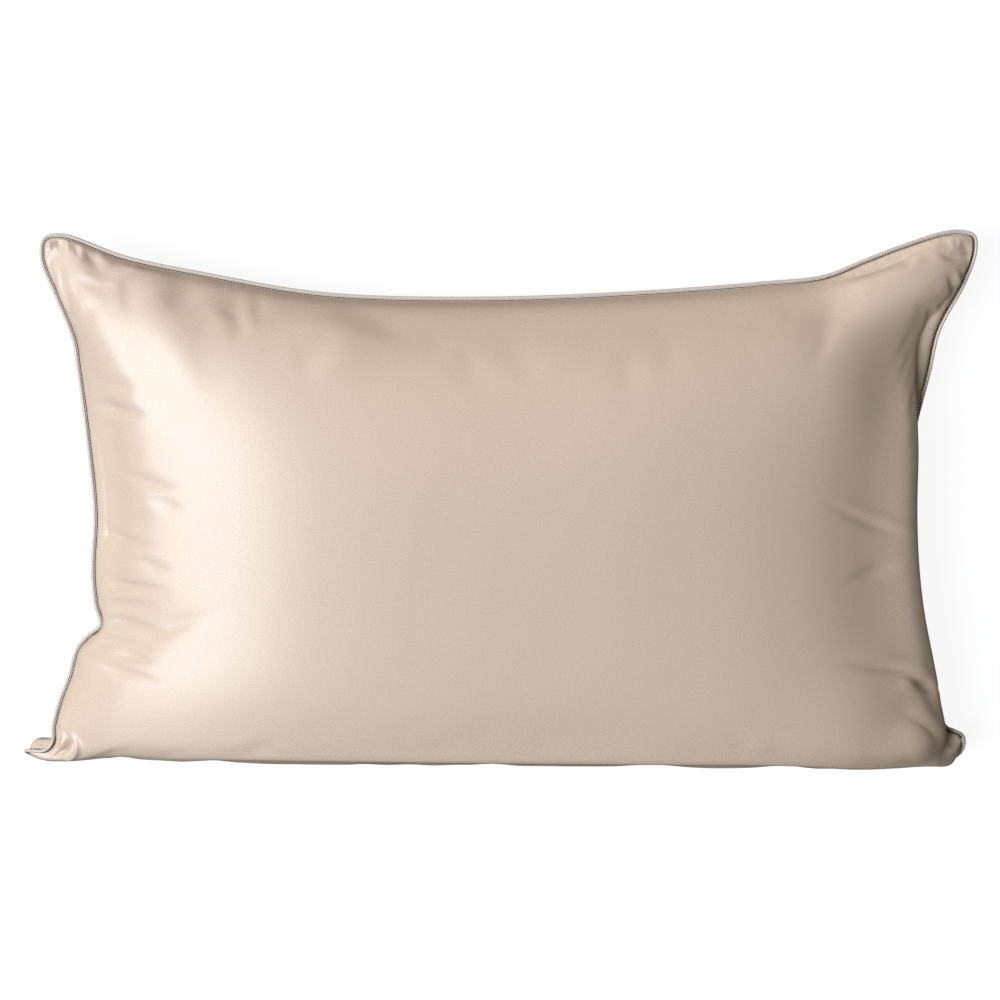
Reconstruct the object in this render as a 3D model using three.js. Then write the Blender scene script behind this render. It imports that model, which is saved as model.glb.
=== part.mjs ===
// A king-size satin pillowcase on its pillow, with self piping sewn into the seam all the way round.
// Millimetres. It lies on its back: +X runs along its length, +Y towards its upper long side and +Z out
// of its front face. The origin is under the middle of its box, on the surface that it lies on.
import * as THREE from 'three';

// Sizes of the filled case
const frontCrown = 112;       // height of the front face over the seam, at its fullest
const backCrown = 108;        // depth of the back under the seam, before the surface flattens it
const restBlend = 9;          // how softly the back meets its flat patch
const pipingDiameter = 4.4;
const seamGap = 0.3;          // between the piping and the edge of the panels
const rimHeight = 2;          // the two panels' thickness where the seam closes them

// How finely each surface is divided: cells along and across a panel, closer together near the seam
const cellsAlong = 52;
const cellsAcross = 54;
const crowdingAlong = 1.6;
const crowdingAcross = 0.8;
const pipingSides = 8;

// Profile of the crown: a power near 2 is round, and a lower roundness gives a gentler rise at the seam
const frontProfile = { powerAlong: 2.4, powerAcross: 3.0, roundness: 0.62, sag: 0.1 };
const backProfile = { powerAlong: 2.5, powerAcross: 2.6, roundness: 0.66, sag: 0.05 };

// The lower long side was stood on, which flattened it: where that flat lies at the middle of the length and
// at flatHeight over the surface, how it runs with x and z, and how softly the cloth meets it
const flatSide = { y: -252.5, height: 100, perX: -0.033, perZ: 0.22, blend: 8 };

// The piping's centre line, side by side and clockwise from the upper left tip
const topSide = [
  { x: -423, y: 248, z: 72 },
  { x: -407, y: 251, z: 73 },
  { x: -351, y: 231, z: 76 },
  { x: -277, y: 215, z: 80 },
  { x: -166, y: 196, z: 82 },
  { x: -15, y: 191, z: 82 },
  { x: 137, y: 196, z: 82 },
  { x: 252, y: 204, z: 80 },
  { x: 311, y: 210, z: 78 },
  { x: 351, y: 225, z: 76 },
  { x: 389, y: 239, z: 74 },
  { x: 429, y: 251, z: 72 },
  { x: 447, y: 252, z: 71 },
];
const rightSide = [
  { x: 458, y: 248, z: 71 },
  { x: 460, y: 234, z: 70 },
  { x: 450, y: 204, z: 70 },
  { x: 426, y: 158, z: 69 },
  { x: 418, y: 118, z: 66 },
  { x: 405, y: 58, z: 62 },
  { x: 401, y: -8, z: 60 },
  { x: 406, y: -90, z: 58 },
  { x: 419, y: -146, z: 57 },
  { x: 428, y: -176, z: 57 },
  { x: 436, y: -210, z: 58 },
  { x: 438, y: -225, z: 58 },
  { x: 444, y: -234, z: 58 },
  { x: 452, y: -238, z: 57 },
  { x: 460, y: -242, z: 55 },
];
const bottomSide = [
  { x: 464, y: -249, z: 51 },
  { x: 464, y: -260, z: 45 },
  { x: 458, y: -268, z: 39 },
  { x: 440, y: -272, z: 35 },
  { x: 400, y: -272, z: 36 },
  { x: 330, y: -267, z: 42 },
  { x: 150, y: -259, z: 48 },
  { x: -120, y: -251, z: 48 },
  { x: -300, y: -246, z: 44 },
  { x: -390, y: -248, z: 35 },
  { x: -432, y: -252, z: 31 },
];
const leftSide = [
  { x: -452, y: -241, z: 43 },
  { x: -446, y: -239, z: 51 },
  { x: -434, y: -238, z: 57 },
  { x: -426, y: -230, z: 61 },
  { x: -424, y: -211, z: 64 },
  { x: -418, y: -189, z: 67 },
  { x: -408, y: -163, z: 71 },
  { x: -400, y: -137, z: 74 },
  { x: -390, y: -125, z: 75 },
  { x: -378, y: -114, z: 76 },
  { x: -382, y: -94, z: 77 },
  { x: -384, y: -62, z: 78 },
  { x: -381, y: -8, z: 79 },
  { x: -386, y: 58, z: 79 },
  { x: -394, y: 128, z: 77 },
  { x: -398, y: 155, z: 76 },
  { x: -414, y: 197, z: 73 },
  { x: -426, y: 231, z: 72 },
];

// Where the filling pushes the front face out over the seam: the fullest overhang on each long or short
// side, how far in from the seam it is reached, and where along the side it is fullest, from 0 to 1
const overhangs = [
  { face: 'front', side: 'bottom', amount: 34, reach: 30, middle: 0.56, spread: 0.52 },
  { face: 'front', side: 'right', amount: 16, reach: 32, middle: 0.44, spread: 0.42 },
  { face: 'back', side: 'bottom', amount: 12, reach: 26, middle: 0.5, spread: 0.46 },
];

// The lower ears are squashed and turned, so that the side seam comes forward over them
const ears = [
  { x: -452, y: -240, turn: 72, reach: 44, puff: 26 },
  { x: 465, y: -252, turn: 58, reach: 40, puff: 14 },
];

const puffFocus = 2;          // how much more tightly an ear's puff is centred than its turn
const puffFade = 0.03;        // the puff is half there where the back is this full

// Folds of the front face, each a soft trough (or with a negative depth a ridge) between two points
const frontFolds = [
  { x1: -384, y1: 92, x2: -345, y2: 95, width: 9, depth: 4 },
  { x1: -368, y1: 33, x2: -308, y2: 27, width: 9, depth: 4 },
  { x1: -379, y1: -24, x2: -334, y2: -33, width: 9, depth: 4 },
  { x1: -352, y1: -56, x2: -319, y2: -53, width: 8, depth: 3.5 },
  { x1: -378, y1: -78, x2: -328, y2: -75, width: 8, depth: 5 },
  { x1: -372, y1: -111, x2: -333, y2: -117, width: 8, depth: 6 },
  { x1: -382, y1: -129, x2: -333, y2: -139, width: 9, depth: -3 },
  { x1: -376, y1: -151, x2: -336, y2: -158, width: 10, depth: 4 },
  { x1: 322, y1: -11, x2: 384, y2: -30, width: 9, depth: 4.5 },
  { x1: 318, y1: 6, x2: 400, y2: -14, width: 10, depth: -2 },
  { x1: 335, y1: -62, x2: 370, y2: -68, width: 10, depth: 2.5 },
  { x1: 332, y1: -161, x2: 395, y2: -166, width: 9, depth: 4.5 },
  { x1: 400, y1: -178, x2: 424, y2: -190, width: 9, depth: 6 },
  { x1: 380, y1: -206, x2: 404, y2: -226, width: 18, depth: 5 },
  { x1: 300, y1: 195, x2: 389, y2: 230, width: 9, depth: 6 },
  { x1: 434, y1: 198, x2: 424, y2: 170, width: 9, depth: 3 },
  { x1: -244, y1: 203, x2: -100, y2: 187, width: 7, depth: 4 },
  { x1: -386, y1: 227, x2: -370, y2: 221, width: 9, depth: 4 },
  { x1: -378, y1: 216, x2: -291, y2: 104, width: 22, depth: -4 },
  { x1: -267, y1: 194, x2: -175, y2: 158, width: 26, depth: 5 },
  { x1: -416, y1: -213, x2: -402, y2: -222, width: 5, depth: -3 },
  { x1: -401, y1: -226, x2: -407, y2: -241, width: 5, depth: -3 },
  { x1: -413, y1: -220, x2: -411, y2: -236, width: 5, depth: 5 },
];

const foldFade = 8;           // a fold is half there where the face is this high over the seam

const satin = { color: 0xd8cabb, roughness: 0.38, metalness: 0 };
const pipingSatin = { color: 0xcdbba8, roughness: 0.42, metalness: 0 };
const samplesPerRow = 24;     // fine steps between two rows when lengths are measured along the piping

const rows = [topSide, rightSide, bottomSide, leftSide].flat();
const cordLine = new THREE.CatmullRomCurve3(
  rows.map(({ x, y, z }) => new THREE.Vector3(x, y, z)), true, 'centripetal');

// Shares of the way from 0 to 1, closer together at both ends
function crowdedShares(cells, crowding) {
  const shares = [];
  for (let i = 0; i <= cells; i += 1) {
    const signed = 2 * i / cells - 1;
    shares.push(0.5 + 0.5 * Math.tanh(crowding * signed) / Math.tanh(crowding));
  }
  return shares;
}

const sharesAlong = crowdedShares(cellsAlong, crowdingAlong);
const sharesAcross = crowdedShares(cellsAcross, crowdingAcross);

// The direction in which the front face swells at a point: straight up, but turned at the lower ears
function swellDirection(point) {
  let turn = 0;
  for (const ear of ears) {
    const away = Math.hypot(point.x - ear.x, point.y - ear.y) / ear.reach;
    turn += THREE.MathUtils.degToRad(ear.turn) * Math.exp(-away * away);
  }
  return new THREE.Vector3(0, -Math.sin(turn), Math.cos(turn));
}

// How much fuller the back is at an ear
function earPuff(point) {
  let puff = 0;
  for (const ear of ears) {
    const away = Math.hypot(point.x - ear.x, point.y - ear.y) / ear.reach;
    puff += ear.puff * Math.exp(-puffFocus * away * away);
  }
  return puff;
}

// Stations along one side of the piping, at the given shares of its length, each with its own frame:
// outward points away from the panels, and upward towards the front
function sideStations(firstRow, rowCount, shares) {
  const steps = rowCount * samplesPerRow;
  const places = [];
  const lengths = [0];
  for (let i = 0; i <= steps; i += 1) {
    places.push((firstRow + i / samplesPerRow) / rows.length);
    if (i > 0) {
      const stride = cordLine.getPoint(places[i]).distanceTo(cordLine.getPoint(places[i - 1]));
      lengths.push(lengths[i - 1] + stride);
    }
  }
  return shares.map((share) => {
    const wanted = share * lengths[steps];
    const after = Math.max(1, lengths.findIndex((length) => length >= wanted - 1e-9));
    const between = (wanted - lengths[after - 1]) / (lengths[after] - lengths[after - 1]);
    const place = THREE.MathUtils.lerp(places[after - 1], places[after], between);
    const center = cordLine.getPoint(place);
    const tangent = cordLine.getTangent(place);
    const outward = swellDirection(center).cross(tangent).normalize();
    const upward = tangent.clone().cross(outward);
    return { center, outward, upward };
  });
}

let firstRow = 0;
const topStations = sideStations(firstRow, topSide.length, sharesAlong);
firstRow += topSide.length;
const rightStations = sideStations(firstRow, rightSide.length, sharesAcross);
firstRow += rightSide.length;
const bottomStations = sideStations(firstRow, bottomSide.length, sharesAlong);
firstRow += bottomSide.length;
const leftStations = sideStations(firstRow, leftSide.length, sharesAcross);

// Where the panels end: inside the piping by its radius and the gap
function rimPoint({ center, outward }) {
  return center.clone().addScaledVector(outward, -(pipingDiameter / 2 + seamGap));
}

const topRim = topStations.map(rimPoint);
const bottomRim = bottomStations.map(rimPoint).reverse();
const leftRim = leftStations.map(rimPoint);
const rightRim = rightStations.map(rimPoint).reverse();
const panelLength = bottomRim[0].distanceTo(bottomRim[cellsAlong]);
const panelWidth = leftRim[0].distanceTo(leftRim[cellsAcross]);

// The sheet spanned by the four edges, halfway between the two panels
function middleSheet(i, j) {
  const s = sharesAlong[i];
  const t = sharesAcross[j];
  const between = leftRim[j].clone().lerp(rightRim[j], s);
  const upDown = bottomRim[i].clone().lerp(topRim[i], t);
  const lower = bottomRim[0].clone().lerp(bottomRim[cellsAlong], s);
  const upper = topRim[0].clone().lerp(topRim[cellsAlong], s);
  return between.add(upDown).sub(lower.lerp(upper, t));
}

// From 0 at the seam to 1 at the fullest place
function fullness(profile, s, t) {
  const along = 2 * s - 1;
  const level = 2 * t - 1;
  const across = level + profile.sag * (1 - level * level);
  const domeAlong = Math.max(0, 1 - Math.abs(along) ** profile.powerAlong);
  const domeAcross = Math.max(0, 1 - Math.abs(across) ** profile.powerAcross);
  return (domeAlong * domeAcross) ** profile.roundness;
}

function overhangShift(face, s, t) {
  const shift = new THREE.Vector3();
  for (const hang of overhangs.filter((each) => each.face === face)) {
    const isBottom = hang.side === 'bottom';
    const inward = (isBottom ? t * panelWidth : (1 - s) * panelLength) / hang.reach;
    const place = ((isBottom ? s : t) - hang.middle) / hang.spread;
    const share = Math.max(0, 1 - place ** 4) ** 2;
    const amount = hang.amount * share * inward * inward * Math.exp(1 - inward * inward);
    shift.add(isBottom ? new THREE.Vector3(0, -amount, 0) : new THREE.Vector3(amount, 0, 0));
  }
  return shift;
}

// How far the folds sink the front face at a point
function foldDepth(point) {
  let depth = 0;
  for (const fold of frontFolds) {
    const runX = fold.x2 - fold.x1;
    const runY = fold.y2 - fold.y1;
    const offset = (point.x - fold.x1) * runX + (point.y - fold.y1) * runY;
    const along = THREE.MathUtils.clamp(offset / (runX * runX + runY * runY), 0, 1);
    const away = Math.hypot(point.x - fold.x1 - along * runX, point.y - fold.y1 - along * runY);
    depth += fold.depth * Math.exp(-((away / fold.width) ** 2));
  }
  return depth;
}

function frontPoint(i, j) {
  const s = sharesAlong[i];
  const t = sharesAcross[j];
  const sheet = middleSheet(i, j);
  const swell = swellDirection(sheet);
  const height = frontCrown * fullness(frontProfile, s, t);
  const point = sheet.addScaledVector(swell, rimHeight / 2 + height).add(overhangShift('front', s, t));
  const clearOfSeam = height / (height + foldFade);
  return pressedFlat(point.addScaledVector(swell, -foldDepth(point) * clearOfSeam));
}

// Distance from a flat once it has flattened the cloth against it
function flattened(distance, blend) {
  if (distance >= blend) return distance;
  if (distance <= -blend) return 0;
  return (distance + blend) ** 2 / (4 * blend);
}

function pressedFlat(point) {
  const flatY = flatSide.y + flatSide.perX * point.x + flatSide.perZ * (point.z - flatSide.height);
  point.y = flatY + flattened(point.y - flatY, flatSide.blend);
  point.z = flattened(point.z, restBlend);
  return point;
}

function backPoint(i, j) {
  const s = sharesAlong[i];
  const t = sharesAcross[j];
  const sheet = middleSheet(i, j);
  const swell = swellDirection(sheet);
  const full = fullness(backProfile, s, t);
  const depth = backCrown * full + earPuff(sheet) * full / (full + puffFade);
  const point = sheet.addScaledVector(swell, -rimHeight / 2 - depth);
  return pressedFlat(point.add(overhangShift('back', s, t)));
}

function closedSurface(points, triangles) {
  const geometry = new THREE.BufferGeometry();
  geometry.setAttribute('position', new THREE.Float32BufferAttribute(points.flatMap((p) => [...p]), 3));
  geometry.setIndex(triangles.flat());
  geometry.computeVertexNormals();
  return geometry;
}

// Front and back panels with the narrow rim that closes them at the seam
function pillowGeometry() {
  const columns = cellsAlong + 1;
  const faceSize = columns * (cellsAcross + 1);
  const front = (i, j) => j * columns + i;
  const back = (i, j) => faceSize + front(i, j);
  const points = [];
  for (const facePoint of [frontPoint, backPoint]) {
    for (let j = 0; j <= cellsAcross; j += 1) {
      for (let i = 0; i <= cellsAlong; i += 1) {
        points.push(facePoint(i, j));
      }
    }
  }
  const triangles = [];
  const addQuad = (a, b, c, d) => {
    const shortAC = points[a].distanceTo(points[c]) <= points[b].distanceTo(points[d]);
    triangles.push(...(shortAC ? [[a, b, c], [a, c, d]] : [[a, b, d], [b, c, d]]));
  };
  for (let j = 0; j < cellsAcross; j += 1) {
    for (let i = 0; i < cellsAlong; i += 1) {
      addQuad(front(i, j), front(i + 1, j), front(i + 1, j + 1), front(i, j + 1));
      addQuad(back(i, j), back(i, j + 1), back(i + 1, j + 1), back(i + 1, j));
    }
  }
  const rim = [];
  for (let i = 0; i < cellsAlong; i += 1) rim.push([i, 0]);
  for (let j = 0; j < cellsAcross; j += 1) rim.push([cellsAlong, j]);
  for (let i = cellsAlong; i > 0; i -= 1) rim.push([i, cellsAcross]);
  for (let j = cellsAcross; j > 0; j -= 1) rim.push([0, j]);
  rim.forEach((here, index) => {
    const next = rim[(index + 1) % rim.length];
    addQuad(back(...here), back(...next), front(...next), front(...here));
  });
  return closedSurface(points, triangles);
}

// A round cord that runs right round the seam and joins itself
function pipingGeometry() {
  const ring = [topStations, rightStations, bottomStations, leftStations].flatMap((side) => side.slice(1));
  const points = [];
  for (const { center, outward, upward } of ring) {
    for (let k = 0; k < pipingSides; k += 1) {
      const angle = 2 * Math.PI * k / pipingSides;
      const radial = outward.clone().multiplyScalar(Math.cos(angle)).addScaledVector(upward, Math.sin(angle));
      points.push(center.clone().addScaledVector(radial, pipingDiameter / 2));
    }
  }
  const triangles = [];
  ring.forEach((station, index) => {
    const here = index * pipingSides;
    const next = ((index + 1) % ring.length) * pipingSides;
    for (let k = 0; k < pipingSides; k += 1) {
      const turned = (k + 1) % pipingSides;
      triangles.push([here + k, here + turned, next + turned], [here + k, next + turned, next + k]);
    }
  });
  return closedSurface(points, triangles);
}

function namedMesh(name, geometry, finish) {
  const mesh = new THREE.Mesh(geometry, new THREE.MeshStandardMaterial(finish));
  mesh.name = name;
  return mesh;
}

const group = new THREE.Group();
group.add(namedMesh('pillow_body', pillowGeometry(), satin));
group.add(namedMesh('piping', pipingGeometry(), pipingSatin));

const middle = new THREE.Box3().setFromObject(group).getCenter(new THREE.Vector3());
group.position.set(-middle.x, -middle.y, 0);
group.updateMatrixWorld(true);

export default group;
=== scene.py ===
import math

import bpy
import numpy as np
from mathutils import Matrix, Vector


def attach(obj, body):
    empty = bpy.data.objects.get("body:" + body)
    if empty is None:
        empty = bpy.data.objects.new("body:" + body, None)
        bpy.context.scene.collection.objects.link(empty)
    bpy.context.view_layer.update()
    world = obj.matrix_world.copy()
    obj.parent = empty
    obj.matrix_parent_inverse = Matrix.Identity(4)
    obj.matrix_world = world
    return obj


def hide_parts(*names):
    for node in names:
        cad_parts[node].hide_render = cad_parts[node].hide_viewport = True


# A king-size silk satin pillowcase on its pillow, with self piping sewn into the seam.
# It lies on its back: +X along its length, +Y towards its upper long side, +Z out of its front face.
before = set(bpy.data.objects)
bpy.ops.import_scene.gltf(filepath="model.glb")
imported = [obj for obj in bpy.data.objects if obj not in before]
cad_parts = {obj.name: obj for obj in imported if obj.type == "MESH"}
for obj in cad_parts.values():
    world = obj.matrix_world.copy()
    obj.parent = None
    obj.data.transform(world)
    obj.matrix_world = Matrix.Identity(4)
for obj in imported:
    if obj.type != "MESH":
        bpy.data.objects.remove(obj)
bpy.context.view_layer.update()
millimetre = 0.001

# the camera looks down on the front face, a little from the left and from above its upper side
cameraSettings = {
    "lens": 100,               # mm on a 36 mm sensor
    "fromLeft": 6,             # degrees off the face's own direction
    "fromTop": 7,
    "distance": 2.64,          # metres from the point that it looks at
    "aim": (-0.00635, 0.01011, 0.080),
    "nearest": 0.05,           # metres between which it sees
    "farthest": 100,
}


def makeCamera():
    turn = math.radians(cameraSettings["fromLeft"])
    tilt = math.radians(cameraSettings["fromTop"])
    back = Vector((-math.sin(turn) * math.cos(tilt), math.sin(tilt), math.cos(turn) * math.cos(tilt)))
    right = Vector((0, 1, 0)).cross(back).normalized()
    up = back.cross(right)
    data = bpy.data.cameras.new("camera")
    data.lens = cameraSettings["lens"]
    data.clip_start, data.clip_end = cameraSettings["nearest"], cameraSettings["farthest"]
    camera = bpy.data.objects.new("camera", data)
    place = Matrix((right, up, back)).transposed().to_4x4()
    place.translation = Vector(cameraSettings["aim"]) + back * cameraSettings["distance"]
    camera.matrix_world = place
    bpy.context.collection.objects.link(camera)
    bpy.context.scene.camera = camera


print("placing the camera")
makeCamera()


def linearColor(hexCode):
    # an sRGB hex colour turned to the linear values that the shaders take
    values = [int(hexCode[i:i + 2], 16) / 255 for i in (1, 3, 5)]
    linear = [v / 12.92 if v <= 0.04045 else ((v + 0.055) / 1.055) ** 2.4 for v in values]
    return (*linear, 1)


def addNode(tree, kind, settings=None, values=None, links=None):
    # one node with its settings, its sockets' values, and its links as {socket: output}
    node = tree.nodes.new(kind)
    for name, value in (settings or {}).items():
        setattr(node, name, value)
    for socket, value in (values or {}).items():
        node.inputs[socket].default_value = value
    for socket, output in (links or {}).items():
        tree.links.new(output, node.inputs[socket])
    return node


def newMaterial(name):
    material = bpy.data.materials.new(name)
    material.use_nodes = True
    material.node_tree.nodes.clear()
    return material, material.node_tree


def linkObject(name, mesh):
    made = bpy.data.objects.new(name, mesh)
    bpy.context.collection.objects.link(made)
    return made


def applyModifiers(piece):
    # the evaluated shape becomes the piece's own mesh, with nothing live left on it
    depsgraph = bpy.context.evaluated_depsgraph_get()
    depsgraph.update()
    baked = bpy.data.meshes.new_from_object(piece.evaluated_get(depsgraph))
    old = piece.data
    piece.modifiers.clear()
    piece.data = baked
    bpy.data.meshes.remove(old)


def meshPoints(mesh):
    points = np.empty(len(mesh.vertices) * 3)
    mesh.vertices.foreach_get("co", points)
    return points.reshape(-1, 3)


def movePoints(mesh, points):
    mesh.vertices.foreach_set("co", points.ravel())
    mesh.update()


def shadeSmooth(mesh):
    mesh.polygons.foreach_set("use_smooth", [True] * len(mesh.polygons))


# the seam: the piping's centre line in mm, side by side and clockwise from the upper left tip
seamSides = {
    "top": [
        (-423, 248, 72), (-407, 251, 73), (-351, 231, 76), (-277, 215, 80), (-166, 196, 82), (-15, 191, 82),
        (137, 196, 82), (252, 204, 80), (311, 210, 78), (351, 225, 76), (389, 239, 74), (429, 251, 72),
        (447, 252, 71),
    ],
    "right": [
        (458, 248, 71), (460, 234, 70), (450, 204, 70), (426, 158, 69), (418, 118, 66), (405, 58, 62),
        (401, -8, 60), (406, -90, 58), (419, -146, 57), (428, -176, 57), (436, -210, 58), (438, -225, 58),
        (444, -234, 58), (452, -238, 57), (460, -242, 55),
    ],
    "bottom": [
        (464, -249, 51), (464, -260, 45), (458, -268, 39), (440, -272, 35), (400, -272, 36), (330, -267, 42),
        (150, -259, 48), (-120, -251, 48), (-300, -246, 44), (-390, -248, 35), (-432, -252, 31),
    ],
    "left": [
        (-452, -241, 43), (-446, -239, 51), (-434, -238, 57), (-426, -230, 61), (-424, -211, 64),
        (-418, -189, 67), (-408, -163, 71), (-400, -137, 74), (-390, -125, 75), (-378, -114, 76),
        (-382, -94, 77), (-384, -62, 78), (-381, -8, 79), (-386, 58, 79), (-394, 128, 77), (-398, 155, 76),
        (-414, 197, 73), (-426, 231, 72),
    ],
}
seamRows = np.array([row for side in seamSides.values() for row in side], float)
stepsPerRow = 24               # steps that a stretch of the seam is measured in, from row to row


def seamPoint(place):
    # points and directions on a smooth closed line through the rows, for places from 0 to 1
    count = len(seamRows)
    at = np.asarray(place, float) * count
    index = np.floor(at).astype(int)
    share = (at - index)[:, None]
    a, b, c, d = (seamRows[(index + k) % count] for k in (-1, 0, 1, 2))
    gapA, gapB, gapC = (np.linalg.norm(q - p, axis=1)[:, None] ** 0.5 for p, q in ((a, b), (b, c), (c, d)))
    leanB = ((b - a) / gapA - (c - a) / (gapA + gapB) + (c - b) / gapB) * gapB
    leanC = ((c - b) / gapB - (d - b) / (gapB + gapC) + (d - c) / gapC) * gapB
    square = -3 * b + 3 * c - 2 * leanB - leanC
    cube = 2 * b - 2 * c + leanB + leanC
    point = b + leanB * share + square * share ** 2 + cube * share ** 3
    along = leanB + 2 * square * share + 3 * cube * share ** 2
    return point, along / np.linalg.norm(along, axis=1)[:, None]


def crowdedShares(cells, crowding):
    # shares from 0 to 1, closer together at both ends
    signed = np.linspace(-1, 1, cells + 1)
    return 0.5 + 0.5 * np.tanh(crowding * signed) / math.tanh(crowding)


# the two lower corners turn to the front: where they are, how far they turn in degrees, how far in that
# is felt, and how much fuller the back is behind them
ears = [
    {"x": -452, "y": -240, "turn": 72, "reach": 44, "puff": 26},
    {"x": 465, "y": -252, "turn": 58, "reach": 40, "puff": 14},
]
earPuffFocus = 2               # above 1, the fuller place is tighter than the turn


def earDistance(ear, points):
    # the squared distance from an ear's middle, counted in its own reach
    return ((points[..., 0] - ear["x"]) ** 2 + (points[..., 1] - ear["y"]) ** 2) / ear["reach"] ** 2


def swellDirection(points):
    # the way the front swells: straight up, but turned at the two lower ears
    turn = sum(math.radians(ear["turn"]) * np.exp(-earDistance(ear, points)) for ear in ears)
    return np.stack([np.zeros_like(turn), -np.sin(turn), np.cos(turn)], -1)


def earPuff(points):
    return sum(ear["puff"] * np.exp(-earPuffFocus * earDistance(ear, points)) for ear in ears)


def seamStations(firstPlace, lastPlace, shares):
    # points, outward and upward directions at shares of a stretch's length; places count rows
    steps = int(round((lastPlace - firstPlace) * stepsPerRow))
    places = (firstPlace + np.arange(steps + 1) / stepsPerRow) / len(seamRows)
    dense, _ = seamPoint(places)
    lengths = np.concatenate([[0], np.cumsum(np.linalg.norm(np.diff(dense, axis=0), axis=1))])
    wanted = np.interp(np.asarray(shares) * lengths[-1], lengths, places)
    center, along = seamPoint(wanted)
    outward = np.cross(swellDirection(center), along)
    outward /= np.linalg.norm(outward, axis=1)[:, None]
    return center, outward, np.cross(along, outward)


# the filled pillow's own form, in mm
pillow = {
    "cellsAlong": 110,         # cells of the cloth along and across each panel, before it is made finer
    "cellsAcross": 108,
    "crowdingAlong": 1.6,      # how much closer together they lie near the seam
    "crowdingAcross": 1.0,
    "frontCrown": 112,         # how far each face swells from the sheet that the seam spans
    "backCrown": 108,
    "restBlend": 9,            # height within which the back rounds off into the flat that it rests on
    "rimHeight": 2,            # between the two panels at the seam
    "rimCrease": 0.7,
    "pipingDiameter": 4.4,     # room that the panels leave for the piping
    "seamGap": 0.3,
    "cutLength": 914,          # the panels' flat size
    "cutWidth": 508,
    "puffFade": 0.03,          # share of the back's fullness within which the ears' puff starts
    "foldFade": 4,             # mm from the seam within which folds die away
    "bendLength": 45,          # mm of seam over which its bends are averaged for the panels
    "bendReach": 28,           # mm in from the seam that a bend is felt
    "seamSamples": 4001,       # points that the seam's middle is found from
}
# how each face domes: a higher power keeps it full nearer to that side, a higher roundness draws it in, and
# the sag brings its fullest line down from the middle
frontProfile = {
    "powerLeft": 2.4, "powerRight": 3.0, "powerAbove": 3.2, "powerBelow": 5.0, "roundness": 0.62, "sag": 0.1,
    "twist": 0.8,              # how much fuller the right end is below than above
}
backProfile = {
    "powerLeft": 2.5, "powerRight": 2.5, "powerAbove": 2.6, "powerBelow": 2.6, "roundness": 0.66, "sag": 0.05,
    "twist": 0.0,
}
# the flat of the lower long side: where it lies at a height, how it leans along and up, how softly it starts
flatSide = {"y": -252.5, "height": 100, "perX": -0.033, "perZ": 0.22, "blend": 8}
# where the filled cloth hangs out over its seam: how far, how far in from the seam it is most, and the middle
# and spread of that along the side
overhangs = [
    {"face": "front", "side": "bottom", "amount": 34, "reach": 30, "middle": 0.56, "spread": 0.52},
    {"face": "front", "side": "right", "amount": 19, "reach": 32, "middle": 0.44, "spread": 0.42},
    {"face": "back", "side": "bottom", "amount": 12, "reach": 26, "middle": 0.5, "spread": 0.46},
]

foldSteps = 10                 # straight steps in each fold's arc
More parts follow.
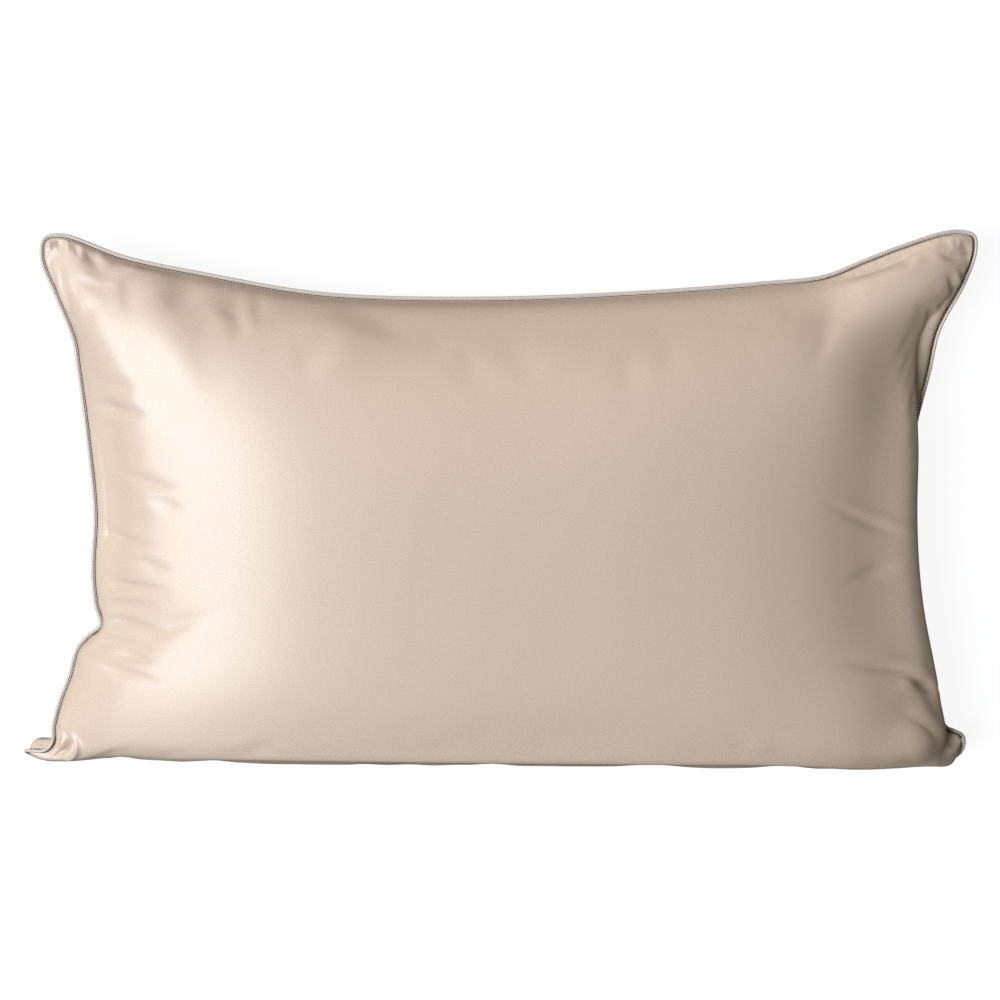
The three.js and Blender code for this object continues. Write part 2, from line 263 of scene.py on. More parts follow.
# folds of the front in mm: a line between two points, its width, its depth (a ridge if negative), the bow
# of its arc, and where along it is deepest
frontFolds = [
    # the dents of a hand along the left side, in a flank that runs in almost straight
    (-369, 165, -367, -138, 20, 6, 0, 0.5),
    (-386, 97, -326, 91, 5, 4, -2, 0.5),
    (-376, 114, -335, 117, 8, 2.4, 0, 0.5),
    (-364, 38, -294, 21, 6, 2.8, -3, 0.45),
    (-386, -21, -320, -32, 5, 3.4, -3, 0.4),
    (-356, -44, -306, -55, 5, 2, 0, 0.5),
    (-338, 13, -291, 1, 6, 1.6, 0, 0.5),
    # the fan of creases that runs in from the notch
    (-382, -76, -308, -74, 4.5, 4.6, 3, 0.35),
    (-383, -92, -319, -88, 5, 2.4, 0, 0.4),
    (-376, -107, -309, -120, 4.5, 4, 4, 0.3),
    (-388, -121, -320, -126, 6, -2, 3, 0.4),
    (-388, -127, -315, -133, 4, 2.6, 3, 0.4),
    (-373, -136, -324, -143, 4, 3.2, 2, 0.5),
    (-388, -149, -317, -162, 5, 2.8, 2, 0.4),
    # the right side's four folds, and the low ridges beside them
    (290, 6, 398, -37, 4.5, 2.8, -3, 0.6),
    (290, 15, 405, -34, 6, -1.6, -4, 0.6),
    (317, -75, 389, -65, 6, 2.4, 2, 0.5),
    (302, -154, 410, -170, 5, 3, 2, 0.6),
    (321, -144, 415, -160, 6, -1.6, 0, 0.5),
    (380, -167, 432, -192, 4.5, 4, -2, 0.65),
    (371, -181, 410, -182, 5, -1.6, 2, 0.5),
    # broad forms near the right end: a hollow below the upper corner, a fuller lower corner
    (419, 212, 365, 28, 78, 13, 0, 0.35),
    (364, -98, 355, -289, 75, -7, 0, 0.7),
    (405, -191, 408, -270, 34, -7, 0, 0.6),
    # the upper right corner: its hollow strip by the seam, pleats at the tip, puckers beside the seam
    (289, 200, 429, 248, 7, 8, 0, 0.5),
    (269, 175, 420, 230, 9, -1.5, 0, 0.5),
    (425, 240, 458, 243, 5, -2.4, 2, 0.5),
    (416, 235, 456, 229, 3.5, 3, -4, 0.5),
    (437, 248, 440, 235, 2.5, 1.4, 0, 0.4),
    (425, 215, 440, 183, 4, 2.2, 4, 0.5),
    (432, 220, 447, 189, 3.5, -1.6, 4, 0.5),
    (410, 183, 428, 143, 4, 2.2, 4, 0.5),
    (417, 186, 435, 151, 3.5, -1.6, 4, 0.5),
    # the upper left corner: two ridges that run in from the tip, pleats, and soft dents under the seam
    (-420, 255, -314, 57, 25, -5, 0, 0.35),
    (-356, 247, -275, 86, 30, -6, 0, 0.35),
    (-413, 227, -394, 157, 3, -2, -2, 0.5),
    (-421, 249, -417, 236, 3, -2.5, 0, 0.4),
    (-415, 251, -409, 235, 3, 2.8, 2, 0.4),
    (-405, 251, -403, 233, 3, -2.8, 2, 0.4),
    (-396, 247, -391, 229, 3, 2.2, 0, 0.4),
    (-389, 242, -369, 216, 7, 3, 0, 0.4),
    (-249, 210, -246, 143, 9, 1.1, 0, 0.45),
    (-229, 210, -226, 157, 7, 0.9, 0, 0.5),
    (-345, 211, -267, 177, 24, 1.6, 0, 0.5),
    (-255, 210, -86, 191, 4.5, 2.5, 0, 0.5),
    (-156, 191, -169, 104, 45, -5, 0, 0.35),
    # the curled pleats of the lower left ear
    (-420, -210, -420, -251, 3.2, -5.5, 18, 0.5),
    (-417, -213, -420, -246, 4, 5.5, 11, 0.5),
    (-418, -212, -423, -240, 2.8, -3.5, 6, 0.5),
    (-427, -245, -412, -232, 2.6, 4.5, 0, 0.5),
]


def foldDepth(x, y, folds):
    # each fold is a shallow arc; a point's depth comes from how far off the arc it is and how far along
    depth = np.zeros_like(x)
    shares = np.linspace(0, 1, foldSteps + 1)[:, None]
    for x1, y1, x2, y2, width, deep, bow, peak in folds:
        ends = np.array([[x1, y1], [x2, y2]], float)
        chord = ends[1] - ends[0]
        aside = np.array([-chord[1], chord[0]]) / np.linalg.norm(chord)
        arc = ends[0] + chord * shares + 4 * bow * shares * (1 - shares) * aside
        reach = 3 * width
        near = ((x > arc[:, 0].min() - reach) & (x < arc[:, 0].max() + reach)
                & (y > arc[:, 1].min() - reach) & (y < arc[:, 1].max() + reach))
        here = np.stack([x[near], y[near]], -1)
        off, along = np.full(len(here), np.inf), np.zeros(len(here))
        for step in range(foldSteps):
            run = arc[step + 1] - arc[step]
            toPoint = here - arc[step]
            part = np.clip(toPoint @ run / (run @ run), 0, 1)
            distance = np.linalg.norm(toPoint - part[:, None] * run, axis=1)
            along = np.where(distance < off, (step + part) / foldSteps, along)
            off = np.minimum(distance, off)
        share = np.where(along < peak, along / peak, (1 - along) / (1 - peak))
        fade = share ** 2 * (3 - 2 * share)
        off /= width * (0.5 + 0.5 * fade)          # a fold is half as wide at its ends
        depth[near] += deep * np.exp(-off ** 2) * fade
    return depth


def flattened(distance, blend):
    # nothing below 0, with a soft turn into it
    soft = (distance + blend) ** 2 / (4 * blend)
    return np.where(distance >= blend, distance, np.where(distance <= -blend, 0, soft))


def pressedFlat(points):
    height = points[..., 2] - flatSide["height"]
    flatY = flatSide["y"] + flatSide["perX"] * points[..., 0] + flatSide["perZ"] * height
    points[..., 1] = flatY + flattened(points[..., 1] - flatY, flatSide["blend"])
    points[..., 2] = flattened(points[..., 2], pillow["restBlend"])
    return points


def fullness(profile, s, t):
    level = 2 * t - 1
    across = level + profile["sag"] * (1 - level ** 2)
    powerAlong = np.where(s < 0.5, profile["powerLeft"], profile["powerRight"] - profile["twist"] * level)
    powerAcross = np.where(across < 0, profile["powerBelow"], profile["powerAbove"])
    domeAlong = np.maximum(0, 1 - np.abs(2 * s - 1) ** powerAlong)
    domeAcross = np.maximum(0, 1 - np.abs(across) ** powerAcross)
    return (domeAlong * domeAcross) ** profile["roundness"]


def overhangShift(face, s, t, lengths):
    shift = np.zeros(s.shape + (3,))
    for hang in overhangs:
        if hang["face"] != face:
            continue
        isBottom = hang["side"] == "bottom"
        inward = (t * lengths[1] if isBottom else (1 - s) * lengths[0]) / hang["reach"]
        place = ((s if isBottom else t) - hang["middle"]) / hang["spread"]
        amount = hang["amount"] * np.maximum(0, 1 - place ** 4) ** 2 * inward ** 2 * np.exp(1 - inward ** 2)
        shift[..., 1 if isBottom else 0] += -amount if isBottom else amount
    return shift


def calmed(line, shares):
    # a line with its short bends averaged out, and both ends kept
    weights = np.exp(-((shares[:, None] - shares[None]) * pillow["cutWidth"] / pillow["bendLength"]) ** 2)
    weights *= np.gradient(shares)[None]
    average = weights @ line / weights.sum(1, keepdims=True)
    ends = np.minimum(shares, 1 - shares)[:, None] * pillow["cutWidth"] / pillow["bendLength"]
    return line + (average - line) * (1 - np.exp(-ends ** 2))


def pillowPanels():
    # front and back as grids of points, [across, along]
    sharesAlong = crowdedShares(pillow["cellsAlong"], pillow["crowdingAlong"])
    sharesAcross = crowdedShares(pillow["cellsAcross"], pillow["crowdingAcross"])
    rims, first = {}, 0
    for name, rows in seamSides.items():
        shares = sharesAlong if name in ("top", "bottom") else sharesAcross
        center, outward, _ = seamStations(first, first + len(rows), shares)
        rims[name] = center - outward * (pillow["pipingDiameter"] / 2 + pillow["seamGap"])
        first += len(rows)
    top, right, bottom, left = rims["top"], rims["right"][::-1], rims["bottom"][::-1], rims["left"]
    # the seam's short bends stay near it: the sheet is stretched over a calmer line, and what that
    # leaves out is given back near the seam alone
    fullLeft, fullRight = left, right
    left, right = calmed(left, sharesAcross), calmed(right, sharesAcross)
    lengths = (np.linalg.norm(bottom[-1] - bottom[0]), np.linalg.norm(left[-1] - left[0]))
    s, t = np.meshgrid(sharesAlong, sharesAcross)
    s3, t3 = s[..., None], t[..., None]
    lower = bottom[0] + (bottom[-1] - bottom[0]) * s3
    upper = top[0] + (top[-1] - top[0]) * s3
    sheet = (left[:, None] + (right - left)[:, None] * s3 + bottom[None] + (top - bottom)[None] * t3
             - lower - (upper - lower) * t3)
    for bend, inward in ((fullLeft - left, s3), (fullRight - right, 1 - s3)):
        sheet += bend[:, None] * np.exp(-inward * lengths[0] / pillow["bendReach"])
    swell = swellDirection(sheet)
    halfRim = pillow["rimHeight"] / 2
    height = pillow["frontCrown"] * fullness(frontProfile, s, t)
    front = sheet + swell * (halfRim + height)[..., None] + overhangShift("front", s, t, lengths)
    full = fullness(backProfile, s, t)
    depth = pillow["backCrown"] * full + earPuff(sheet) * full / (full + pillow["puffFade"])
    back = sheet - swell * (halfRim + depth)[..., None] + overhangShift("back", s, t, lengths)
    return pressedFlat(front), pressedFlat(back), s, t


def pillowMesh(front, back, s, t):
    # both panels and the narrow rim between them; the flat cut is the cloth's own map, and a second map runs
    # along the seam and in from it
    rows, columns = s.shape
    points = np.concatenate([front.reshape(-1, 3), back.reshape(-1, 3)])
    index = np.arange(rows * columns).reshape(rows, columns)
    a, b, c, d = index[:-1, :-1], index[:-1, 1:], index[1:, 1:], index[1:, :-1]
    frontQuads = np.stack([a, b, c, d], -1).reshape(-1, 4)
    backQuads = np.stack([a, d, c, b], -1).reshape(-1, 4) + rows * columns
    loop = np.concatenate([index[0, :-1], index[:-1, -1], index[-1, :0:-1], index[:0:-1, 0]])
    following = np.roll(loop, -1)
    rimQuads = np.stack([loop + rows * columns, following + rows * columns, following, loop], -1)
    mesh = bpy.data.meshes.new("satinPillow")
    mesh.from_pydata(points.tolist(), [], np.concatenate([frontQuads, backQuads, rimQuads]).tolist())
    cut = np.stack([s * pillow["cutLength"], t * pillow["cutWidth"]], -1).reshape(-1, 2)
    toSides = np.minimum(cut[:, 0], pillow["cutLength"] - cut[:, 0])
    toLongSides = np.minimum(cut[:, 1], pillow["cutWidth"] - cut[:, 1])
    alongSeam = np.where(toLongSides < toSides, cut[:, 0], cut[:, 1])
    seamRun = np.stack([alongSeam, np.minimum(toSides, toLongSides)], -1)
    corner = np.zeros(len(mesh.loops), int)
    mesh.loops.foreach_get("vertex_index", corner)
    for name, values in (("flatCut", cut), ("seamRun", seamRun)):
        layer = mesh.uv_layers.new(name=name)
        layer.data.foreach_set("uv", (np.concatenate([values, values]) * millimetre)[corner].ravel())
    onFront = mesh.attributes.new("onFront", "FLOAT", "POINT")
    onFront.data.foreach_set("value", np.repeat([1.0, 0.0], rows * columns))
    inFromSeam = mesh.attributes.new("inFromSeam", "FLOAT", "POINT")
    inFromSeam.data.foreach_set("value", np.concatenate([seamRun[:, 1], seamRun[:, 1]]))
    rimLoops = (loop, loop + rows * columns)
    rimEdges = {tuple(sorted(pair)) for line in rimLoops
                for pair in zip(line.tolist(), np.roll(line, -1).tolist())}
    crease = mesh.attributes.new("crease_edge", "FLOAT", "EDGE")
    for edge in mesh.edges:
        if tuple(sorted(edge.vertices)) in rimEdges:
            crease.data[edge.index].value = pillow["rimCrease"]
    mesh.update()
    return mesh, np.concatenate(rimLoops)


cloth = {
    "pressure": 4,             # of the filling against the cloth
    "frames": 20,
    "quality": 6,              # steps in each frame
    "mass": 0.12,              # kg at each point, for a heavy soft satin
    "stretch": 12,             # stiffness of the threads
    "bend": 0.4,
    "ease": 0.01,              # how much larger the cloth is than the form that it is laid on
    "mostMoved": 3.8,          # mm that it may move at the two ends
    "middleShare": 0.3,        # of that, in the middle of its length
}


def settleCloth(piece, rim):
    # the filling pushes the cloth out while the seam holds it; there is no gravity
    before = meshPoints(piece.data)
    held = piece.vertex_groups.new(name="seam")
    held.add(rim.tolist(), 1.0, "REPLACE")
    settling = piece.modifiers.new("settling", "CLOTH")
    settings = settling.settings
    settings.quality = cloth["quality"]
    settings.mass = cloth["mass"]
    settings.tension_stiffness = settings.compression_stiffness = cloth["stretch"]
    settings.shear_stiffness = cloth["stretch"] / 2
    settings.bending_stiffness = cloth["bend"]
    settings.shrink_min = -cloth["ease"]
    settings.use_pressure = True
    settings.uniform_pressure_force = cloth["pressure"]
    settings.effector_weights.gravity = 0
    settings.vertex_group_mass = "seam"
    settling.collision_settings.use_collision = False
    settling.point_cache.frame_start, settling.point_cache.frame_end = 1, cloth["frames"]
    for moment in range(1, cloth["frames"] + 1):
        bpy.context.scene.frame_set(moment)
    applyModifiers(piece)
    bpy.context.scene.frame_set(1)
    piece.vertex_groups.clear()
    moved = meshPoints(piece.data) - before
    size = np.linalg.norm(moved, axis=1, keepdims=True) + 1e-9
    towardsEnd = np.minimum(np.abs(before[:, :1]) / (pillow["cutLength"] / 2 * millimetre), 1) ** 2
    most = cloth["mostMoved"] * millimetre * (cloth["middleShare"] + (1 - cloth["middleShare"]) * towardsEnd)
    print("the cloth moved", round(float(size.max()) / millimetre, 1), "mm at most,",
          round(float(size.mean()) / millimetre, 1), "mm on average, before the cap")
    movePoints(piece.data, before + moved / size * np.tanh(size / most) * most)


def pressFolds(mesh):
    # the folds go into the fine mesh, square to the cloth, and nothing sinks below what it rests on
    places = meshPoints(mesh)
    seen = np.empty(len(places))
    mesh.attributes["onFront"].data.foreach_get("value", seen)
    inward = np.empty(len(places))
    mesh.attributes["inFromSeam"].data.foreach_get("value", inward)
    normals = np.empty(len(places) * 3)
    mesh.vertex_normals.foreach_get("vector", normals)
    normals = normals.reshape(-1, 3)
    inMillimetres = (places - toFrame) / millimetre
    clear = 1 - np.exp(-(inward / pillow["foldFade"]) ** 2)
    depth = foldDepth(inMillimetres[:, 0], inMillimetres[:, 1], frontFolds) * clear * (seen > 0.5)
    places -= normals * (depth * millimetre)[:, None]
    places[:, 2] = np.maximum(places[:, 2], 0)
    movePoints(mesh, places)


print("shaping the pillow")
seamLine = seamPoint(np.linspace(0, 1, pillow["seamSamples"]))[0]
seamMiddle = (seamLine.max(0) + seamLine.min(0)) / 2
toFrame = np.array([-seamMiddle[0], -seamMiddle[1], 0]) * millimetre       # its middle over the origin
frontGrid, backGrid, gridS, gridT = pillowPanels()
pillowForm, rimPoints = pillowMesh(
    frontGrid * millimetre + toFrame, backGrid * millimetre + toFrame, gridS, gridT)
pillowPiece = linkObject("satinPillow", pillowForm)
print("settling the cloth on its filling")
settleCloth(pillowPiece, rimPoints)
print("making the cloth finer and pressing its folds")
finer = pillowPiece.modifiers.new("finer", "SUBSURF")
finer.levels = finer.render_levels = 1
applyModifiers(pillowPiece)
pressFolds(pillowPiece.data)
shadeSmooth(pillowPiece.data)


def linePiece(name, points):
    # a closed run of edges, for the node trees to work along
    count = len(points)
    mesh = bpy.data.meshes.new(name)
    mesh.from_pydata(points.tolist(), [(i, (i + 1) % count) for i in range(count)], [])
    return linkObject(name, mesh)


def treeWithInputs(name, numbers):
    # an empty geometry tree with its line, its numbers and its material as named inputs
    tree = bpy.data.node_groups.new(name, "GeometryNodeTree")
    tree.interface.new_socket("Line", in_out="INPUT", socket_type="NodeSocketGeometry")
    for label in numbers:
        kind = "NodeSocketInt" if label == "Sides" else "NodeSocketFloat"
        tree.interface.new_socket(label, in_out="INPUT", socket_type=kind)
    tree.interface.new_socket("Finish", in_out="INPUT", socket_type="NodeSocketMaterial")
    tree.interface.new_socket("Made", in_out="OUTPUT", socket_type="NodeSocketGeometry")
    return tree, addNode(tree, "NodeGroupInput").outputs


def runTree(piece, tree, numbers, finish):
    # the tree's result becomes the piece's own plain mesh
    made = piece.modifiers.new(tree.name, "NODES")
    made.node_group = tree
    for item in tree.interface.items_tree:
        if item.name in numbers:
            made[item.identifier] = numbers[item.name]
        elif item.name == "Finish":
            made[item.identifier] = finish
    applyModifiers(piece)


piping = {
    "stations": 1800,          # points that the cord's line is drawn through
    "spacing": 0.8,            # mm between the cord's rings
    "sides": 12,
    "radius": 1.5,
    "outset": 0.7,             # mm that the cord stands out from the seam's middle line
    "pinch": 0.07,             # how far each stitch draws the cord in, as a share of its radius
}
# real stitches, drawn thick, dark and unbroken so that they also paint the shade in the groove between the
# cord and the panel
stitching = {
    "pitch": 2.8,              # mm from one stitch to the next
    "length": 3.6,             # each runs into the next, so that the row reads as one unbroken dark line, the painted shade of the groove
    "thickness": 1.3,          # sewing thread is nearer 0.4 mm, drawn thicker so that the row shows as the groove's painted shade
    "inset": 1.7,              # mm inside the seam's middle line
    "rise": 0.9,               # mm above and below it
    "segments": 6,
    "rings": 5,
}


def pipingTree():
    tree, given = treeWithInputs("pipingRun", ["Spacing", "Radius", "Sides", "Pinch", "Pitch"])
    line = addNode(tree, "GeometryNodeMeshToCurve", links={"Mesh": given["Line"]})
    rings = addNode(tree, "GeometryNodeResampleCurve", {"mode": "LENGTH"},
                    links={"Curve": line.outputs[0], "Length": given["Spacing"]})
    along = addNode(tree, "GeometryNodeSplineParameter")
    turns = addNode(tree, "ShaderNodeMath", {"operation": "DIVIDE"},
                    links={0: along.outputs["Length"], 1: given["Pitch"]})
    angle = addNode(tree, "ShaderNodeMath", {"operation": "MULTIPLY"},
                    {1: 2 * math.pi}, {0: turns.outputs[0]})
    wave = addNode(tree, "ShaderNodeMath", {"operation": "COSINE"}, links={0: angle.outputs[0]})
    drawnIn = addNode(tree, "ShaderNodeMath", {"operation": "MULTIPLY_ADD"}, {2: 1.0},
                      {0: wave.outputs[0], 1: given["Pinch"]})
    ring = addNode(tree, "GeometryNodeCurvePrimitiveCircle",
                   links={"Resolution": given["Sides"], "Radius": given["Radius"]})
    cord = addNode(tree, "GeometryNodeCurveToMesh",
                   links={"Curve": rings.outputs[0], "Profile Curve": ring.outputs[0],
                          "Scale": drawnIn.outputs[0]})
    smooth = addNode(tree, "GeometryNodeSetShadeSmooth", links={"Geometry": cord.outputs[0]})
    plain = addNode(tree, "GeometryNodeRealizeInstances", links={"Geometry": smooth.outputs[0]})
    finished = addNode(tree, "GeometryNodeSetMaterial",
                       links={"Geometry": plain.outputs[0], "Material": given["Finish"]})
    addNode(tree, "NodeGroupOutput", links={"Made": finished.outputs[0]})
    return tree


def stitchTree():
    tree, given = treeWithInputs("stitchAndDitchShadeRow", ["Pitch", "Length", "Thickness"])
    line = addNode(tree, "GeometryNodeMeshToCurve", links={"Mesh": given["Line"]})
    places = addNode(tree, "GeometryNodeResampleCurve", {"mode": "LENGTH"},
                     links={"Curve": line.outputs[0], "Length": given["Pitch"]})
    along = addNode(tree, "GeometryNodeInputTangent")
    turned = addNode(tree, "FunctionNodeAlignRotationToVector", {"axis": "Z"},
                     links={"Vector": along.outputs[0]})
    # a bead of unit size, which the row stretches to a stitch
    bead = addNode(tree, "GeometryNodeMeshUVSphere",
                   values={"Segments": stitching["segments"], "Rings": stitching["rings"], "Radius": 0.5})
    size = addNode(tree, "ShaderNodeCombineXYZ",
                   links={"X": given["Thickness"], "Y": given["Thickness"], "Z": given["Length"]})
    row = addNode(tree, "GeometryNodeInstanceOnPoints",
                  links={"Points": places.outputs[0], "Instance": bead.outputs[0],
                         "Rotation": turned.outputs[0], "Scale": size.outputs[0]})
    plain = addNode(tree, "GeometryNodeRealizeInstances", links={"Geometry": row.outputs[0]})
    smooth = addNode(tree, "GeometryNodeSetShadeSmooth", links={"Geometry": plain.outputs[0]})
    finished = addNode(tree, "GeometryNodeSetMaterial",
                       links={"Geometry": smooth.outputs[0], "Material": given["Finish"]})
    addNode(tree, "NodeGroupOutput", links={"Made": finished.outputs[0]})
    return tree


satinLook = {
    "cloth": "#bca68e",
    "clothLight": "#dbc5ad",
    "roughness": 0.45,
    "shine": 0.62,             # strength of its highlights; at 0.5 the index alone sets it
    "bend": 1.56,              # silk's index of refraction
    "threadSheen": 0.75,       # how far the floats draw a highlight out across them
    "threadTurn": 0.25,        # of a full turn, from the cut's length
    "grain": 1.8,              # mm; a slub of the weave is nearer 0.5 mm, drawn coarser so that it shows
    "gather": 8,               # mm from one small gather of the seam to the next
    "gatherStretch": 6,        # how many times longer a gather is than it is wide
    "gatherReach": 12,         # mm in from the seam
    "gatherHeight": 0.35,
    "float": 1.2,              # mm between warp floats; nearer 0.1 mm, drawn coarser so that they show
    "floatLength": 4,
    "floatHeight": 0.1,
}
pipingLook = {
    "cloth": "#cfc6bb",
    "roughness": 0.45,
    "grain": 0.9,              # mm; a slub is nearer 0.5 mm, drawn coarser so that it shows
}
# the thread's dark brown is partly painted shade: it stands in for the shadow in the groove between the cord
# and the panel
threadAndDitchShadeLook = {"threadAndDitchShade": "#6b4a2c", "roughness": 0.9, "shine": 0.15}


def satinMaterial():
    # silk charmeuse in a satin weave: its long warp floats lie along the pillow and spread each highlight
    # across it into one soft upright band, over a warm ground that hardly varies
    material, tree = newMaterial("silkCharmeuseSatin")
    cut = addNode(tree, "ShaderNodeUVMap", {"uv_map": "flatCut"})
    slubs = addNode(tree, "ShaderNodeTexNoise",
                    values={"Scale": 1 / (satinLook["grain"] * millimetre), "Detail": 2.0, "Roughness": 0.5},
                    links={"Vector": cut.outputs[0]})
    tone = addNode(tree, "ShaderNodeMix", {"data_type": "RGBA"},
                   {6: linearColor(satinLook["cloth"]), 7: linearColor(satinLook["clothLight"])},
                   {0: slubs.outputs[0]})
    seam = addNode(tree, "ShaderNodeUVMap", {"uv_map": "seamRun"})
    perGather = 1 / (satinLook["gather"] * millimetre)
    stretched = addNode(tree, "ShaderNodeMapping",
                        values={"Scale": (perGather, perGather / satinLook["gatherStretch"], 1)},
                        links={"Vector": seam.outputs[0]})
    gathers = addNode(tree, "ShaderNodeTexNoise", values={"Scale": 1.0, "Detail": 1.0},
                      links={"Vector": stretched.outputs[0]})
    away = addNode(tree, "ShaderNodeSeparateXYZ", links={0: seam.outputs[0]})
    fade = addNode(tree, "ShaderNodeMapRange", {"interpolation_type": "SMOOTHSTEP"},
                   {"From Min": 0.0, "From Max": satinLook["gatherReach"] * millimetre,
                    "To Min": 1.0, "To Max": 0.0},
                   {"Value": away.outputs["Y"]})
    raised = addNode(tree, "ShaderNodeMath", {"operation": "MULTIPLY"},
                     links={0: gathers.outputs[0], 1: fade.outputs[0]})
    gathered = addNode(tree, "ShaderNodeBump",
                       values={"Strength": 1.0, "Distance": satinLook["gatherHeight"] * millimetre},
                       links={"Height": raised.outputs[0]})
    perFloat = (1 / (satinLook["floatLength"] * millimetre), 1 / (satinLook["float"] * millimetre), 1)
    laid = addNode(tree, "ShaderNodeMapping", values={"Scale": perFloat}, links={"Vector": cut.outputs[0]})
    floats = addNode(tree, "ShaderNodeTexNoise", values={"Scale": 1.0, "Detail": 2.0, "Roughness": 0.6},
                     links={"Vector": laid.outputs[0]})
    relief = addNode(tree, "ShaderNodeBump",
                     values={"Strength": 1.0, "Distance": satinLook["floatHeight"] * millimetre},
                     links={"Height": floats.outputs[0], "Normal": gathered.outputs[0]})
    warp = addNode(tree, "ShaderNodeTangent", {"direction_type": "UV_MAP", "uv_map": "flatCut"})
    shader = addNode(tree, "ShaderNodeBsdfPrincipled", values={
        "Roughness": satinLook["roughness"], "Specular IOR Level": satinLook["shine"],
        "IOR": satinLook["bend"], "Anisotropic": satinLook["threadSheen"],
        "Anisotropic Rotation": satinLook["threadTurn"],
    }, links={"Base Color": tone.outputs[2], "Tangent": warp.outputs[0], "Normal": relief.outputs[0]})
    addNode(tree, "ShaderNodeOutputMaterial", links={"Surface": shader.outputs[0]})
    return material


def pipingMaterial():
    # the same silk cut on the bias over a cord: paler, with a soft round highlight
    material, tree = newMaterial("biasSatinPiping")
    place = addNode(tree, "ShaderNodeTexCoord")
    slubs = addNode(tree, "ShaderNodeTexNoise",
                    values={"Scale": 1 / (pipingLook["grain"] * millimetre), "Detail": 1.0},
                    links={"Vector": place.outputs["Object"]})
    tone = addNode(tree, "ShaderNodeMix", {"data_type": "RGBA"},
                   {6: linearColor(satinLook["cloth"]), 7: linearColor(pipingLook["cloth"])},
                   {0: slubs.outputs[0]})
    shader = addNode(tree, "ShaderNodeBsdfPrincipled", values={"Roughness": pipingLook["roughness"]},
                     links={"Base Color": tone.outputs[2]})
    addNode(tree, "ShaderNodeOutputMaterial", links={"Surface": shader.outputs[0]})
    return material


def threadAndDitchShadeMaterial():
    # spun polyester thread in dark brown, dull: real stitches whose dark colour also paints the shade in the
    # groove between cord and panel, so that the seam reads as one thin dark line
    material, tree = newMaterial("darkThreadAndDitchShade")
    shader = addNode(tree, "ShaderNodeBsdfPrincipled", values={
        "Base Color": linearColor(threadAndDitchShadeLook["threadAndDitchShade"]), "Roughness": threadAndDitchShadeLook["roughness"],
        "Specular IOR Level": threadAndDitchShadeLook["shine"],
    })
    addNode(tree, "ShaderNodeOutputMaterial", links={"Surface": shader.outputs[0]})
    return material


pillowPiece.data.materials.append(satinMaterial())

print("running the piping and its stitches round the seam")
seamShares = np.arange(piping["stations"]) / piping["stations"]
cordMiddle, cordOutward, cordUpward = seamStations(0, len(seamRows), seamShares)
pipingPiece = linePiece("pipingCord", (cordMiddle + cordOutward * piping["outset"]) * millimetre + toFrame)
runTree(pipingPiece, pipingTree(), {
    "Spacing": piping["spacing"] * millimetre, "Radius": piping["radius"] * millimetre,
    "Sides": piping["sides"], "Pinch": piping["pinch"], "Pitch": stitching["pitch"] * millimetre,
}, pipingMaterial())
# the rows of stitches, dark and thick, also paint the shade in the groove on both sides of the piping
stitchAndDitchShadeTree, threadAndDitchShade = stitchTree(), threadAndDitchShadeMaterial()
stitchAndDitchShadePieces = []
for name, face in (("frontStitchesAndDitchShade", 1), ("backStitchesAndDitchShade", -1)):
    ditch = cordMiddle - cordOutward * stitching["inset"] + cordUpward * stitching["rise"] * face
    row = linePiece(name, ditch * millimetre + toFrame)
    sizes = {label.capitalize(): stitching[label] * millimetre for label in ("pitch", "length", "thickness")}
    runTree(row, stitchAndDitchShadeTree, sizes, threadAndDitchShade)
    stitchAndDitchShadePieces.append(row)


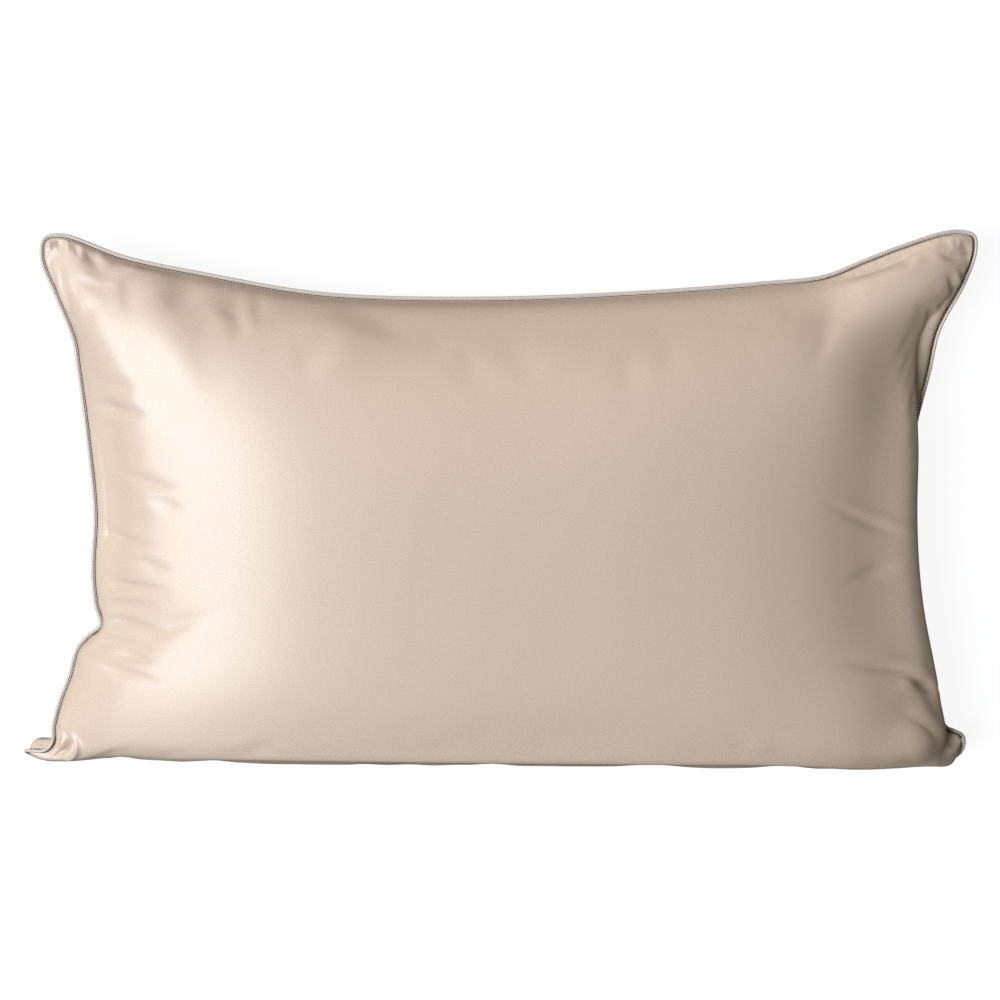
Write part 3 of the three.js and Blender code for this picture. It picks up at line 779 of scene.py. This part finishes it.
studio = {
    "floor": "#5a5957",
    "floorGlow": "#ffffff",
    "floorGlowStrength": 0.92,
    "floorRoughness": 0.9,
    "floorHalf": 12,           # metres
    "wallHeight": 5,
    "floorDrop": 1,            # mm under the pillow
    "sky": 0.1,
    "skyTint": (1.0, 0.94, 0.88, 1.0),
    "key": 2055,               # watts; the places and sizes are in metres
    "keySize": (3.0, 8.0),
    "keyTint": (0.92, 1.0, 1.14),
    "keyPlace": (-7.7, 0.0, 9.4),
    "fill": 260,
    "fillSize": (6.0, 2.0),
    "fillTint": (1.0, 0.94, 0.86),
    "fillPlace": (-2.5, 8.5, 0.9),
    "bounce": 25,
    "bounceSize": (1.5, 4.0),
    "bounceTint": (1.0, 0.92, 0.82),
    "bouncePlace": (8.5, -1.0, 0.7),
    "aim": (0.0, 0.0, 0.1),
}


def makeStudio():
    # a pale floor with walls, one tall soft light far off to the left, and two weak low ones: one past the
    # upper side and one past the right end
    material, tree = newMaterial("paleFloor")
    shader = addNode(tree, "ShaderNodeBsdfPrincipled", values={
        "Base Color": linearColor(studio["floor"]), "Roughness": studio["floorRoughness"],
        "Emission Color": linearColor(studio["floorGlow"]), "Emission Strength": studio["floorGlowStrength"],
    })
    addNode(tree, "ShaderNodeOutputMaterial", links={"Surface": shader.outputs[0]})
    half, level = studio["floorHalf"], -studio["floorDrop"] * millimetre
    corners = [(x, y, z) for z in (level, studio["wallHeight"])
               for x, y in ((-half, -half), (half, -half), (half, half), (-half, half))]
    walls = [(i, (i + 1) % 4, 4 + (i + 1) % 4, 4 + i) for i in range(4)]
    mesh = bpy.data.meshes.new("floor")
    mesh.from_pydata(corners, [], [(0, 1, 2, 3)] + walls)
    mesh.materials.append(material)
    floor = linkObject("floor", mesh)
    # white to look at, but it throws no light back up under the pillow
    floor.visible_diffuse = floor.visible_glossy = False
    world = bpy.data.worlds.new("studio")
    world.use_nodes = True
    sky = world.node_tree.nodes["Background"]
    sky.inputs["Color"].default_value = studio["skyTint"]
    sky.inputs["Strength"].default_value = studio["sky"]
    bpy.context.scene.world = world
    for name in ("key", "fill", "bounce"):
        light = bpy.data.lights.new(name, "AREA")
        light.shape = "RECTANGLE"
        light.size, light.size_y = studio[name + "Size"]
        light.energy = studio[name]
        light.color = studio[name + "Tint"]
        lamp = bpy.data.objects.new(name, light)
        lamp.location = studio[name + "Place"]
        lamp.rotation_euler = (Vector(studio["aim"]) - lamp.location).to_track_quat("-Z", "Y").to_euler()
        bpy.context.collection.objects.link(lamp)
    bpy.context.scene.view_settings.view_transform = "Standard"


print("lighting the studio")
makeStudio()

for piece in (pillowPiece, pipingPiece, *stitchAndDitchShadePieces):
    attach(piece, "root")
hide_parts("pillow_body")
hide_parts("piping")
